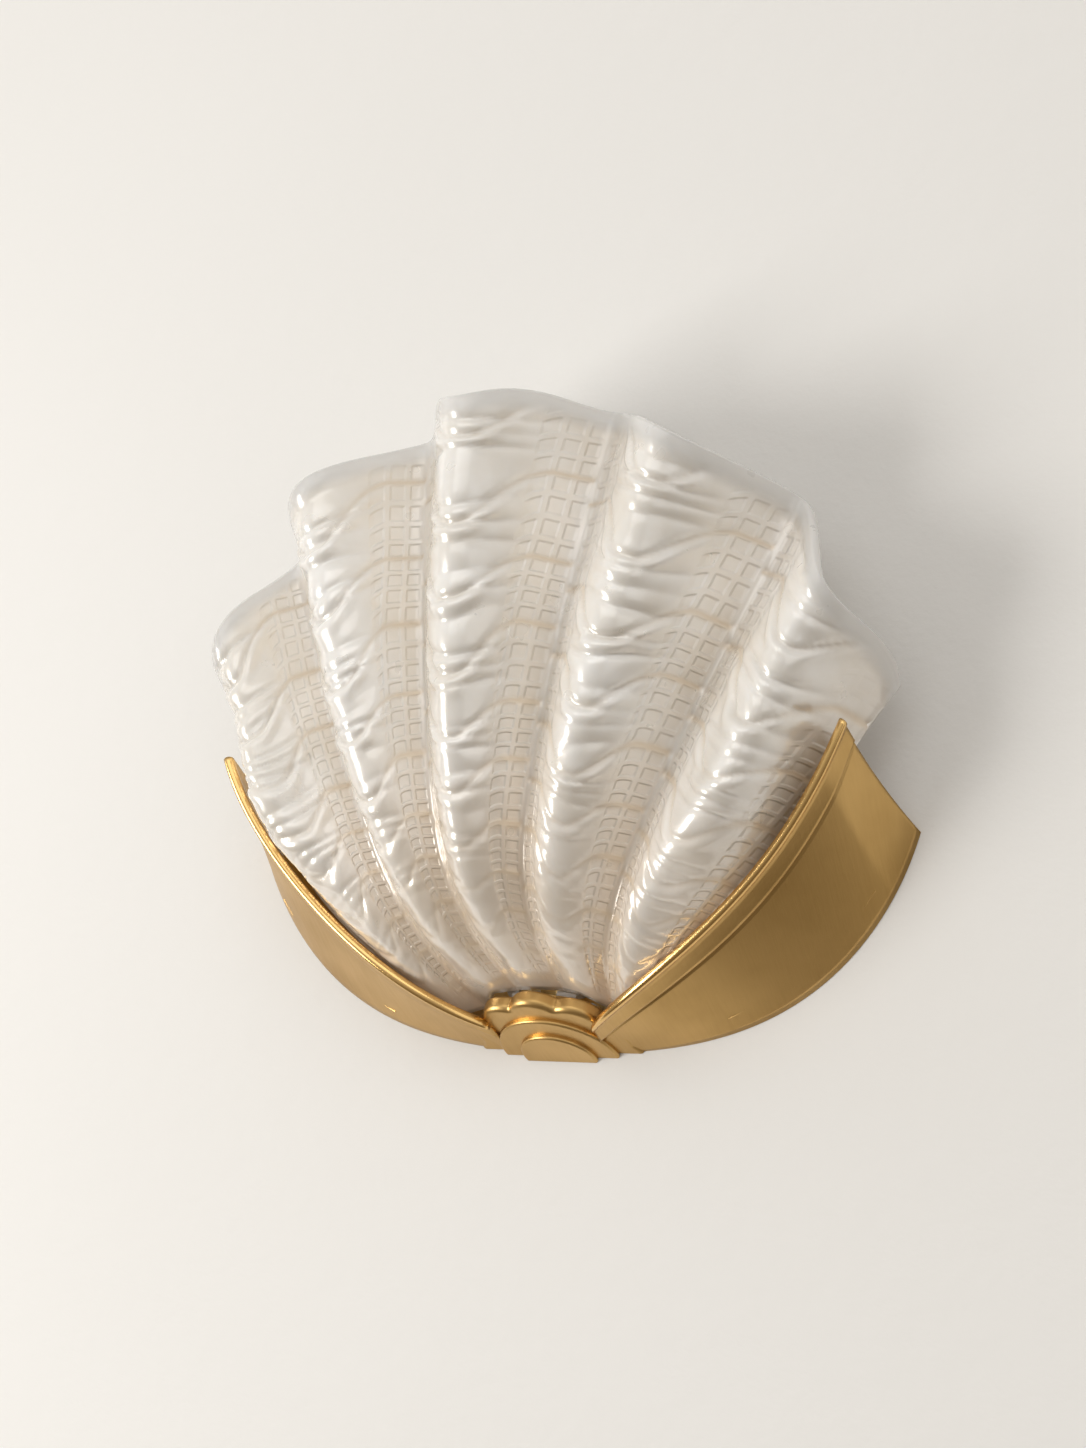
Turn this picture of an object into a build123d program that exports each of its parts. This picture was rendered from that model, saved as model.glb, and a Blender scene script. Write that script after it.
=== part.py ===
from build123d import *
from math import cos, exp, pi, radians, sin, sqrt
import os

# Shell wall light: a fluted fan of pressed glass that stands in a cradle of two flared
# brass wings, which meet at a stepped, scalloped medallion. Millimetres, +X right,
# +Y into the wall, +Z up. The origin is the middle of the two wall screws, on the wall.

os.makedirs("parts", exist_ok=True)

# ---------------------------------------------------------------- driving sizes
CLEARANCE = 0.3           # between the frame and a piece that lifts out

# Fan of the glass: polar about a point below the medallion
FAN_Z = -90.0             # height of the fan's centre
RIB_PITCH = 16.8          # degrees between the middle ribs
PITCH_LOSS = 0.175        # degrees lost per cube of the rib number
RIB_COUNT = 5
SECTIONS_PER_RIB = 12
GLASS_WALL = 4.0          # measured square to the glass
WALL_SLOPE_LIMIT = 1.6    # the steepest flank that the plunger still follows
GLASS_FOOT = 72.0         # radius of the foot at the middle rib
FOOT_RISE = 6.0           # how much further out the foot is at the side edges
GLASS_DEPTH = 94.0        # crest of the middle rib to the wall
SIDE_FALL = 0.465         # share of the depth lost at the side edges
SIDE_POWER = 1.47
SWELL_START = 61.0        # radius where the belly begins to swell
SWELL_LENGTH = 33.0
SWELL_POWER = 1.2
DROOP_START = 190.0       # radius where the belly turns back to the wall
DROOP_LENGTH = 107.0
RIM_DROOP = 0.085
FLUTE_START = 45.0        # radius where the flutes would vanish
FLUTE_SLOPE = 0.17        # flute depth gained per millimetre of radius
FLUTE_ROUND = 1.5         # 1 is a pointed valley, 2 a plain wave
EDGE_ANGLE = 40.0         # fan angle at which the side fall is stated
OUTER_BOW = 0.14          # how far, in ribs, the outer crests bow towards the wings
OUTER_SWELL = 12.0        # how much the outer crests stand out beside the wings
OUTER_AT = 180.0          # radius where the bow and the swell are full
OUTER_SPAN = 41.0
RIM_RADIUS = 325.0
RIM_FALL = 78.0
RIM_FALL_POWER = 2.2
RIM_LEAN = 0.30           # how far a crest is cut back for each millimetre of depth
RIM_SAMPLE = 262.0
CORNER_START = 0.86       # share of the edge angle where the upper corner rounds off
CORNER_CUT = 12.0

# Brass wings
WING_SHEET = 1.6
WING_BAND = 12.5          # raised band below the front lip
WING_BAND_STEP = 1.3
WING_BEAD = 3.6
WING_BEAD_RISE = 1.4
WING_SECTIONS = 9
WING_RIM = [(30, -26.5, -28), (53, -39, -14), (87, -43.4, 12), (117, -46, 44), (139, -47, 81)]
WING_FOOT = [(30, 0, -43.2), (62, 0, -38.5), (104, 0, -21.8), (132.6, 0, 3.7), (153.3, 0, 42)]
WING_TAB_AT = (0.34, 0.78)
WING_TAB = 11.0
WING_TAB_WIDTH = 9.0
WING_TAB_SCREW = 8.0
WALL_LAP = 5.0            # length of sheet trimmed off along the wall

# Medallion: three layers that face down and forward
MEDALLION_TILT = 58.0     # degrees that its face looks down from level
MEDALLION_FOOT_Z = -43.5  # where the face of the lowest layer meets the wall
MEDALLION_WALL = 7.0
LAYER_STEP = 1.8
LOBE_REACH = 25.5         # centre of each scallop from the middle of the foot
LOBE_RADIUS = 12.0
LOBE_ANGLE = 35.0
RING_RADIUS = 26.5
BOSS_RADIUS = 16.8
SKIRT_HALF = 38.5
LIP_ROUND = 1.1
BULLNOSE_FRONT = 2.6      # rounding of the scalloped edge
BULLNOSE_BACK = 1.5
NOTCH_ROUND = 2.0
SOLDER_GAP = 0.1
MEDALLION_SCREW_X = 20.0
MEDALLION_SCREW_RUN = 19.6
MEDALLION_SCREW_BITE = 4.0

# Back plate, wall strap and their fasteners
STRAP = (110.0, 16.0, 2.0)
FIXING_SPACING = 60.0
FIXING_HOLE = 2.25
STUD_SPACING = 92.0
STUD_RADIUS = 2.0
STUD_LENGTH = 16.0
BACK_GAP = 5.0
BACK_SHEET = 1.2
BACK_TOP = 40.0
BACK_INSET = 2.4
BACK_EDGE_SHARES = (0.08, 0.3, 0.55, 0.8, 1)
NUT_RADIUS = 5.5
NUT_HEIGHT = 6.0
NUT_FLUTES = 6
NUT_FLUTE = 0.8
SCREW_RADIUS = 1.5
SCREW_HEAD = 2.8
SCREW_HEAD_HEIGHT = 1.8
HOLE_ROOM = 0.15
BRACKET_HALF = 25.0
BRACKET_LEG_TOP = -15.0
FLANGE_LAP = 0.3          # how far the bracket's flange runs into its leg
FLANGE_HIGH = 23.4
LEDGE_REACH = 9.4
PAD_HEIGHT = 1.8
PAD_HALF_ANGLE = 3.6

# Lamp
LAMP_Y = -36.0
HOLDER_FOOT = 18.0
HOLDER_HEIGHT = 38.0
HOLDER_RADIUS = 13.0
SLEEVE_BORE = 7.15
SLEEVE_WALL = 0.75
NIPPLE_RADIUS = 5.0
NIPPLE_BORE = 3.4
BRACKET_SHEET = 1.5
BRACKET_WIDTH = 18.0
BULB_RADIUS = 17.5
BULB_LENGTH = 73.0
BULB_CAP_RADIUS = 6.85
BULB_BELLY = 0.36         # height of the widest place, as a share of the length
BULB_TIP = 4.0            # radius of the rounded tip
BRACKET_RISE = 38.0
SKIRT_STEP = 6.0          # how far the medallion's skirt narrows above the wall
SKIRT_RISE = 12.0
NIPPLE_NUT = 3.5
NIPPLE_NUT_RADIUS = 8.0
NIPPLE_BITE = 4.0
HOLDER_FLOOR = 9.5
CONTACT_HEIGHT = 4.0

# Wiring inside
CABLE_AT = (-84.0, 4.0)
GROMMET_NECK = 6.0
GROMMET_FLANGE = 8.0
GROMMET_BORE = 4.0
GROMMET_LIP = 1.5
TERMINAL = (18.0, 15.0, 13.0)
TERMINAL_AT = (-56.0, 14.0)
TERMINAL_SCREW = 1.5
TERMINAL_SCREW_LENGTH = 4.5
TERMINAL_BORE_DEPTH = 4.0
EARTH_AT = (-30.0, -12.0)
EARTH_WASHER = 3.8
LEAD_RADIUS = 0.8
LEAD_Y = -12.0
LEAD_SPREAD = 4.0
LEAD_BITE = 3.2
LEAD_BEND = 6.0
SCREW_WAY = 5.0           # terminal screws each side of the block's middle
WAY_PITCH = 4.5

BACK_FRONT = -BACK_GAP - BACK_SHEET


def export(piece, label):
    piece.part.label = label
    export_step(piece.part, f"parts/{label}.step")


# ---------------------------------------------------------------- form of the glass
def rib_angle(phase):
    """Fan angle, in degrees, of a place counted in ribs from the middle one."""
    return RIB_PITCH * phase - PITCH_LOSS * phase**3


def crown(phase):
    """1 on a crest and 0 in a valley."""
    return abs(cos(pi * phase)) ** FLUTE_ROUND


def belly(radius):
    """Share of the full depth along the middle rib."""
    rise = 1 - exp(-(((radius - SWELL_START) / SWELL_LENGTH) ** SWELL_POWER))
    droop = RIM_DROOP * (max(0.0, radius - DROOP_START) / DROOP_LENGTH) ** 2
    return rise * (1 - droop)


def outer_depth(radius, phase):
    """Distance from the wall to the outside of the glass."""
    side = (abs(rib_angle(phase)) / EDGE_ANGLE) ** SIDE_POWER
    last = RIB_COUNT / 2
    near_wing = exp(-(((radius - OUTER_AT) / OUTER_SPAN) ** 2))
    outer_rib = sin(pi * max(0.0, abs(phase) - last + 1)) ** 2
    bowed = abs(phase) - OUTER_BOW * near_wing * outer_rib
    swell = OUTER_SWELL * near_wing * crown(bowed) * (phase / (last - 0.5)) ** 2
    flute = FLUTE_SLOPE * (radius - FLUTE_START) * (1 - crown(bowed))
    return GLASS_DEPTH * belly(radius) * (1 - SIDE_FALL * side) - flute + swell


def inner_depth(radius, phase):
    """The wall keeps its thickness square to the glass, not straight back."""
    step = 0.02
    last = RIB_COUNT / 2
    low, high = max(-last, phase - step), min(last, phase + step)
    arc = radius * radians(rib_angle(high) - rib_angle(low))
    across = (outer_depth(radius, high) - outer_depth(radius, low)) / arc
    along = outer_depth(radius + 1, phase) - outer_depth(radius, phase)
    slope = min(WALL_SLOPE_LIMIT, sqrt(across**2 + along**2))
    return outer_depth(radius, phase) - GLASS_WALL * sqrt(1 + slope**2)


def foot_radius(phase):
    return GLASS_FOOT + FOOT_RISE * (rib_angle(phase) / EDGE_ANGLE) ** 2


def rim_radius(phase):
    turn = abs(rib_angle(phase)) / EDGE_ANGLE
    corner = max(0.0, (turn - CORNER_START) / (1 - CORNER_START)) ** 3
    lean = RIM_LEAN * outer_depth(RIM_SAMPLE, phase)
    return RIM_RADIUS - RIM_FALL * turn**RIM_FALL_POWER - lean - CORNER_CUT * corner


def fan_plane(angle):
    """Upright plane through the fan's centre: x runs out along the rib, y to the front."""
    turn = radians(angle)
    return Plane((0, 0, FAN_Z), x_dir=(sin(turn), 0, cos(turn)), z_dir=(cos(turn), 0, -sin(turn)))


PROFILE_STEPS = (0, 0.05, 0.12, 0.2, 0.3, 0.42, 0.56, 0.7, 0.85, 1)
BACK_STEPS = [1 - step for step in reversed(PROFILE_STEPS)]


def profile_line(places, steps):
    """Smooth line whose knots sit at the same steps in every section of the glass."""
    add(Edge.make_spline([Vector(*place) for place in places], parameters=steps))


with BuildPart() as glass_shell:
    for count in range(RIB_COUNT * SECTIONS_PER_RIB + 1):
        phase = count / SECTIONS_PER_RIB - RIB_COUNT / 2
        foot, rim = foot_radius(phase), rim_radius(phase)
        radii = [foot + (rim - foot) * step for step in PROFILE_STEPS]
        front = [(radius, outer_depth(radius, phase)) for radius in radii]
        back = [(radius, inner_depth(radius, phase)) for radius in reversed(radii)]
        lip = (rim + 0.4 * GLASS_WALL, (front[-1][1] + back[0][1]) / 2)
        with BuildSketch(fan_plane(rib_angle(phase))):
            with BuildLine():
                profile_line(front, PROFILE_STEPS)
                Polyline(front[-1], lip, back[0])
                profile_line(back, BACK_STEPS)
                Line(back[-1], front[0])
            make_face()
    loft(ruled=True)
export(glass_shell, "glass_shell")


# ---------------------------------------------------------------- medallion
face_tilt = radians(MEDALLION_TILT)
FACE_OUT = Vector(0, -cos(face_tilt), -sin(face_tilt))


def medallion_plane(height):
    """Face of the medallion raised by height: y runs up its slope from the wall."""
    foot = Vector(0, 0, MEDALLION_FOOT_Z) + FACE_OUT * height
    return Plane(foot, x_dir=(1, 0, 0), z_dir=FACE_OUT)


def medallion_back_z(y):
    """Height of the medallion's flat back at a distance y from the wall."""
    run = (-y + MEDALLION_WALL * cos(face_tilt)) / sin(face_tilt)
    return MEDALLION_FOOT_Z + MEDALLION_WALL * sin(face_tilt) + run * cos(face_tilt)


def scalloped_face(grow=0.0):
    """Five scallops above a skirt that widens towards the wall."""
    half, lap = SKIRT_HALF + grow, -LOBE_RADIUS
    top = half - SKIRT_STEP
    skirt = [(-half, lap), (half, lap), (half, 0), (top, SKIRT_RISE), (-top, SKIRT_RISE), (-half, 0)]
    with BuildSketch() as scallops:
        Circle(LOBE_REACH + grow)
        for lobe in range(-2, 3):
            turn = radians(LOBE_ANGLE * lobe)
            with Locations((LOBE_REACH * sin(turn), LOBE_REACH * cos(turn))):
                Circle(LOBE_RADIUS + grow)
        Polygon(*skirt, align=None)
        fillet(scallops.vertices().filter_by(lambda corner: corner.Y > lap / 2), NOTCH_ROUND)
    return scallops.sketch


with BuildPart() as medallion_plate:
    with BuildSketch(medallion_plane(0)):
        add(scalloped_face())
    extrude(amount=-MEDALLION_WALL)
    for face, rounding in ((-1, BULLNOSE_FRONT), (0, BULLNOSE_BACK)):
        faces = medallion_plate.faces().sort_by(Axis(origin=(0, 0, 0), direction=FACE_OUT))
        fillet(faces[face].edges(), rounding)
    with BuildSketch(medallion_plane(0)):
        Circle(RING_RADIUS)
    extrude(amount=LAYER_STEP)
    ring_edges = medallion_plate.faces().sort_by(Axis(origin=(0, 0, 0), direction=FACE_OUT))[-1].edges()
    fillet(ring_edges, LIP_ROUND)
    for side in (-1, 1):
        with Locations(medallion_plane(-MEDALLION_WALL) * Location((side * MEDALLION_SCREW_X, MEDALLION_SCREW_RUN))):
            Cylinder(SCREW_RADIUS, 2 * MEDALLION_SCREW_BITE, mode=Mode.SUBTRACT)
    split(bisect_by=Plane.XZ, keep=Keep.TOP)
export(medallion_plate, "medallion_plate")

with BuildPart() as medallion_boss:
    with BuildSketch(medallion_plane(LAYER_STEP)):
        Circle(BOSS_RADIUS)
    extrude(amount=LAYER_STEP)
    boss_edges = medallion_boss.faces().sort_by(Axis(origin=(0, 0, 0), direction=FACE_OUT))[-1].edges()
    fillet(boss_edges, LIP_ROUND)
    split(bisect_by=Plane.XZ, keep=Keep.TOP)
export(medallion_boss, "medallion_boss")


# ---------------------------------------------------------------- wings
with BuildLine() as rim_line:
    Spline(*WING_RIM)
with BuildLine() as foot_line:
    Spline(*WING_FOOT)


def wing_frame(share):
    """Plane across the right wing: x runs from the wall to the lip, y out of the sheet."""
    foot, rim = foot_line.line @ share, rim_line.line @ share
    up = (rim - foot).normalized()
    along = (foot_line.line % share + rim_line.line % share).normalized()
    out = along.cross(up).normalized()
    return Plane(foot, x_dir=up, z_dir=up.cross(out)), (rim - foot).length, out


def wing_face_at(share, y):
    """Point on the outside of the right wing at a distance y from the wall."""
    plane, _, out = wing_frame(share)
    return plane.origin + plane.x_dir * (y / plane.x_dir.Y), out


with BuildPart() as right_wing:
    for count in range(WING_SECTIONS):
        plane, reach, out = wing_frame(count / (WING_SECTIONS - 1))
        step, top = WING_BAND_STEP, WING_BAND_STEP + WING_BEAD_RISE
        outside = [(-WALL_LAP, 0), (reach - WING_BAND - step, 0), (reach - WING_BAND, step)]
        bead = [(reach - WING_BEAD, step), (reach - 0.7 * WING_BEAD, top), (reach - 0.25 * WING_BEAD, top)]
        inside = [(reach, step), (reach, -WING_SHEET), (-WALL_LAP, -WING_SHEET)]
        with BuildSketch(plane):
            with BuildLine():
                Polyline(*outside, *bead, *inside, close=True)
            make_face()
    loft()
    split(bisect_by=Plane.XZ, keep=Keep.TOP)
    for share in WING_TAB_AT:
        point, out = wing_face_at(share, BACK_FRONT)
        inward = Vector(-out.X, 0, -out.Z).normalized()
        seat = Plane((point.X, BACK_FRONT, point.Z), x_dir=inward, z_dir=(0, -1, 0))
        with BuildSketch(seat):
            with Locations((WING_TAB / 2 + WING_SHEET / 2, 0)):
                Rectangle(WING_TAB, WING_TAB_WIDTH)
            with Locations((WING_TAB_SCREW, 0)):
                Circle(SCREW_RADIUS + HOLE_ROOM, mode=Mode.SUBTRACT)
        extrude(amount=BACK_SHEET)
    with BuildSketch(medallion_plane(0)):
        add(scalloped_face(SOLDER_GAP))
    extrude(amount=MEDALLION_WALL, mode=Mode.SUBTRACT)
    with BuildSketch(medallion_plane(0)):
        add(scalloped_face(SOLDER_GAP))
    extrude(amount=-MEDALLION_WALL - SOLDER_GAP, mode=Mode.SUBTRACT)
export(right_wing, "right_wing")

with BuildPart() as left_wing:
    add(mirror(right_wing.part, about=Plane.YZ, mode=Mode.PRIVATE))
export(left_wing, "left_wing")


def tab_screw_places():
    """Screw centres of the wing tabs, as (x, z), both sides."""
    places = []
    for share in WING_TAB_AT:
        point, out = wing_face_at(share, BACK_FRONT)
        inward = Vector(-out.X, 0, -out.Z).normalized()
        screw = point + inward * WING_TAB_SCREW
        places += [(screw.X, screw.Z), (-screw.X, screw.Z)]
    return places


# ---------------------------------------------------------------- back plate and strap
def wall_plane(y):
    """Upright plane at a distance y from the wall, seen from the front: x right, y up."""
    return Plane.XZ.offset(-y)


def back_edge(side):
    """Outline of the back plate along one wing, from the medallion up, as (x, z)."""
    points = []
    for share in BACK_EDGE_SHARES:
        point, out = wing_face_at(share, BACK_FRONT)
        inner = point - Vector(out.X, 0, out.Z).normalized() * (WING_SHEET + BACK_INSET)
        points.append((side * inner.X, inner.Z))
    return points


BRACKET_SCREWS = [(-18, -19), (18, -19)]
LAMP_SCREWS = [(0, HOLDER_FOOT + 6), (0, HOLDER_FOOT + 15)]

with BuildPart() as back_plate:
    with BuildSketch(wall_plane(-BACK_GAP)):
        with BuildLine():
            right_edge = Spline(*back_edge(1))
            left_edge = Spline(*back_edge(-1))
            Line(left_edge @ 0, right_edge @ 0)
            Line(left_edge @ 1, right_edge @ 1)
        make_face()
        low = medallion_back_z(BACK_FRONT) + CLEARANCE
        with Locations((0, (BACK_TOP + low) / 2)):
            Rectangle(400, BACK_TOP - low, mode=Mode.INTERSECT)
        with Locations(*tab_screw_places(), *BRACKET_SCREWS, *LAMP_SCREWS):
            Circle(SCREW_RADIUS + HOLE_ROOM, mode=Mode.SUBTRACT)
        with Locations((-STUD_SPACING / 2, 0), (STUD_SPACING / 2, 0), EARTH_AT):
            Circle(STUD_RADIUS + HOLE_ROOM, mode=Mode.SUBTRACT)
        with Locations(CABLE_AT):
            Circle(GROMMET_NECK, mode=Mode.SUBTRACT)
    extrude(amount=BACK_SHEET)
export(back_plate, "back_plate")

with BuildPart() as wall_strap:
    with BuildSketch(wall_plane(0)):
        RectangleRounded(STRAP[0], STRAP[1], STRAP[1] / 2 - 0.5)
        with GridLocations(FIXING_SPACING, 0, 2, 1):
            Circle(FIXING_HOLE, mode=Mode.SUBTRACT)
        with GridLocations(STUD_SPACING, 0, 2, 1):
            Circle(STUD_RADIUS, mode=Mode.SUBTRACT)
    extrude(amount=STRAP[2])
export(wall_strap, "wall_strap")

with BuildPart() as strap_studs:
    with BuildSketch(wall_plane(0)):
        with GridLocations(STUD_SPACING, 0, 2, 1):
            Circle(STUD_RADIUS)
    extrude(amount=STUD_LENGTH)
    chamfer(strap_studs.faces().group_by(Axis.Y)[0].edges(), 0.5)
export(strap_studs, "strap_studs")

with BuildPart() as knurled_nuts:
    with BuildSketch(wall_plane(BACK_FRONT)):
        with GridLocations(STUD_SPACING, 0, 2, 1):
            Circle(NUT_RADIUS)
            with PolarLocations(NUT_RADIUS, NUT_FLUTES):
                Circle(NUT_FLUTE, mode=Mode.SUBTRACT)
            Circle(STUD_RADIUS, mode=Mode.SUBTRACT)
    extrude(amount=NUT_HEIGHT)
export(knurled_nuts, "knurled_nuts")


FORWARD = (90, 0, 0)
FROM_END = (Align.CENTER, Align.CENTER, Align.MIN)


def pan_screws(places, seat_y, bite):
    """Pan-head screws whose heads sit on a face at seat_y and whose shanks point at the wall."""
    for x, z in places:
        with Locations((x, seat_y, z)):
            Cylinder(SCREW_HEAD, SCREW_HEAD_HEIGHT, rotation=FORWARD, align=FROM_END)
        with Locations((x, seat_y + bite, z)):
            Cylinder(SCREW_RADIUS, bite, rotation=FORWARD, align=FROM_END)


SCREW_BITE = 2 * BACK_SHEET + 1.4

with BuildPart() as wing_screws:
    pan_screws(tab_screw_places(), BACK_FRONT - BACK_SHEET, SCREW_BITE)
export(wing_screws, "wing_screws")


# ---------------------------------------------------------------- cradle bracket
def fan_sector(inner, outer, middle, half):
    """Flat sector about the fan's centre, drawn on an upright plane."""
    def place(radius, angle):
        return (radius * sin(radians(angle)), FAN_Z + radius * cos(radians(angle)))

    low, high = middle - half, middle + half
    with BuildSketch() as sector:
        with BuildLine():
            ThreePointArc(place(inner, low), place(inner, middle), place(inner, high))
            Line(place(inner, high), place(outer, high))
            ThreePointArc(place(outer, high), place(outer, middle), place(outer, low))
            Line(place(outer, low), place(inner, low))
        make_face()
    return sector.sketch


PAD_TOP = GLASS_FOOT - CLEARANCE
LEDGE_TOP = PAD_TOP - PAD_HEIGHT
BRACKET_FRONT = BACK_FRONT - BACK_SHEET
VALLEY_ANGLE = rib_angle(0.5)

with BuildPart() as cradle_bracket:
    with BuildSketch(wall_plane(BACK_FRONT)):
        low = medallion_back_z(BRACKET_FRONT) + SOLDER_GAP
        with Locations((0, (BRACKET_LEG_TOP + low) / 2)):
            Rectangle(2 * BRACKET_HALF, BRACKET_LEG_TOP - low)
        with Locations(*BRACKET_SCREWS):
            Circle(SCREW_RADIUS + HOLE_ROOM, mode=Mode.SUBTRACT)
    extrude(amount=BACK_SHEET)
    flange_low = (MEDALLION_WALL * cos(face_tilt) - BRACKET_FRONT - FLANGE_LAP) / sin(face_tilt)
    with BuildSketch(medallion_plane(-MEDALLION_WALL)):
        with Locations((0, (flange_low + FLANGE_HIGH) / 2)):
            Rectangle(2 * BRACKET_HALF, FLANGE_HIGH - flange_low)
        for side in (-1, 1):
            with Locations((side * MEDALLION_SCREW_X, MEDALLION_SCREW_RUN)):
                Circle(SCREW_RADIUS + HOLE_ROOM, mode=Mode.SUBTRACT)
    extrude(amount=-BACK_SHEET)
    with BuildSketch(wall_plane(BACK_FRONT)):
        add(fan_sector(LEDGE_TOP - BACK_SHEET, LEDGE_TOP, 0, VALLEY_ANGLE + PAD_HALF_ANGLE))
    extrude(amount=LEDGE_REACH)
export(cradle_bracket, "cradle_bracket")

with BuildPart() as cradle_pads:
    for side in (-1, 1):
        with BuildSketch(wall_plane(BRACKET_FRONT)):
            add(fan_sector(LEDGE_TOP, PAD_TOP, side * VALLEY_ANGLE, PAD_HALF_ANGLE))
    extrude(amount=LEDGE_REACH - BACK_SHEET)
export(cradle_pads, "cradle_pads")

with BuildPart() as bracket_screws:
    pan_screws(BRACKET_SCREWS, BRACKET_FRONT, SCREW_BITE)
export(bracket_screws, "bracket_screws")

with BuildPart() as medallion_screws:
    for side in (-1, 1):
        seat = medallion_plane(-MEDALLION_WALL - BACK_SHEET)
        with BuildSketch(seat):
            with Locations((side * MEDALLION_SCREW_X, MEDALLION_SCREW_RUN)):
                Circle(SCREW_HEAD)
        extrude(amount=-SCREW_HEAD_HEIGHT)
        with BuildSketch(seat):
            with Locations((side * MEDALLION_SCREW_X, MEDALLION_SCREW_RUN)):
                Circle(SCREW_RADIUS)
        extrude(amount=BACK_SHEET + MEDALLION_SCREW_BITE)
export(medallion_screws, "medallion_screws")


# ---------------------------------------------------------------- lamp
ARM_LOW = HOLDER_FOOT - BRACKET_SHEET
NIPPLE_LOW = ARM_LOW - NIPPLE_NUT - 1.5

with BuildPart() as lamp_bracket:
    with BuildSketch(wall_plane(BACK_FRONT)):
        with Locations((0, (ARM_LOW + BRACKET_RISE) / 2)):
            Rectangle(BRACKET_WIDTH, BRACKET_RISE - ARM_LOW)
        with Locations(*LAMP_SCREWS):
            Circle(SCREW_RADIUS + HOLE_ROOM, mode=Mode.SUBTRACT)
    extrude(amount=BRACKET_SHEET)
    with BuildSketch(Plane.XY.offset(ARM_LOW)):
        with Locations((0, (BACK_FRONT + LAMP_Y) / 2)):
            Rectangle(BRACKET_WIDTH, BACK_FRONT - LAMP_Y)
        with Locations((0, LAMP_Y)):
            Circle(BRACKET_WIDTH / 2)
            Circle(NIPPLE_RADIUS + HOLE_ROOM, mode=Mode.SUBTRACT)
    extrude(amount=BRACKET_SHEET)
export(lamp_bracket, "lamp_bracket")

with BuildPart() as lamp_bracket_screws:
    pan_screws(LAMP_SCREWS, BACK_FRONT - BRACKET_SHEET, SCREW_BITE)
export(lamp_bracket_screws, "lamp_bracket_screws")


def lamp_round(low, high, radius, mode=Mode.ADD):
    """Round piece or bore about the lamp's upright axis."""
    with Locations((0, LAMP_Y, low)):
        Cylinder(radius, high - low, align=FROM_END, mode=mode)


with BuildPart() as threaded_nipple:
    lamp_round(NIPPLE_LOW, HOLDER_FOOT + NIPPLE_BITE, NIPPLE_RADIUS)
    lamp_round(NIPPLE_LOW, HOLDER_FOOT + NIPPLE_BITE, NIPPLE_BORE, Mode.SUBTRACT)
export(threaded_nipple, "threaded_nipple")

with BuildPart() as nipple_nut:
    with BuildSketch(Plane.XY.offset(ARM_LOW - NIPPLE_NUT)):
        with Locations((0, LAMP_Y)):
            RegularPolygon(NIPPLE_NUT_RADIUS, 6)
            Circle(NIPPLE_RADIUS, mode=Mode.SUBTRACT)
    extrude(amount=NIPPLE_NUT)
export(nipple_nut, "nipple_nut")

HOLDER_TOP = HOLDER_FOOT + HOLDER_HEIGHT
SLEEVE_OUTER = SLEEVE_BORE + SLEEVE_WALL
LEAD_HOLES_Z = HOLDER_FOOT + 6.5
CONTACT_LOW = HOLDER_FOOT + HOLDER_FLOOR
CONTACT_TOP = CONTACT_LOW + CONTACT_HEIGHT

with BuildPart() as lampholder_body:
    lamp_round(HOLDER_FOOT, CONTACT_LOW, HOLDER_RADIUS)
    lamp_round(CONTACT_LOW, HOLDER_TOP, HOLDER_RADIUS - 1.2)
    lamp_round(HOLDER_FOOT, HOLDER_FOOT + NIPPLE_BITE, NIPPLE_RADIUS, Mode.SUBTRACT)
    lamp_round(CONTACT_LOW, HOLDER_TOP, SLEEVE_OUTER, Mode.SUBTRACT)
    with BuildSketch(wall_plane(LAMP_Y + HOLDER_RADIUS)):
        with Locations((-LEAD_SPREAD, LEAD_HOLES_Z), (LEAD_SPREAD, LEAD_HOLES_Z)):
            Circle(LEAD_RADIUS + HOLE_ROOM)
    extrude(amount=LEAD_BITE, mode=Mode.SUBTRACT)
export(lampholder_body, "lampholder_body")

with BuildPart() as lampholder_sleeve:
    lamp_round(CONTACT_TOP, HOLDER_TOP - 1, SLEEVE_OUTER)
    lamp_round(CONTACT_TOP, HOLDER_TOP - 1, SLEEVE_BORE, Mode.SUBTRACT)
export(lampholder_sleeve, "lampholder_sleeve")

with BuildPart() as lampholder_contact:
    lamp_round(CONTACT_LOW, CONTACT_LOW + 0.8, 5)
    lamp_round(CONTACT_LOW, CONTACT_TOP, 1.8)
export(lampholder_contact, "lampholder_contact")


# ---------------------------------------------------------------- bulb
TIP_LOW = CONTACT_TOP + CLEARANCE
CAP_LOW = TIP_LOW + 2.0
CAP_TOP = HOLDER_TOP + 1.5
BULB_WALL = 1.0
NECK_RADIUS = BULB_CAP_RADIUS - 0.5

with BuildPart() as bulb_contact:
    lamp_round(TIP_LOW, CAP_LOW, 2.4)
    chamfer(bulb_contact.edges().group_by(Axis.Z)[0], 0.6)
export(bulb_contact, "bulb_contact")

with BuildPart() as bulb_cap:
    lamp_round(CAP_LOW, CAP_TOP, BULB_CAP_RADIUS)
    lamp_round(CAP_LOW + 0.8, CAP_TOP, NECK_RADIUS, Mode.SUBTRACT)
export(bulb_cap, "bulb_cap")


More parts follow.
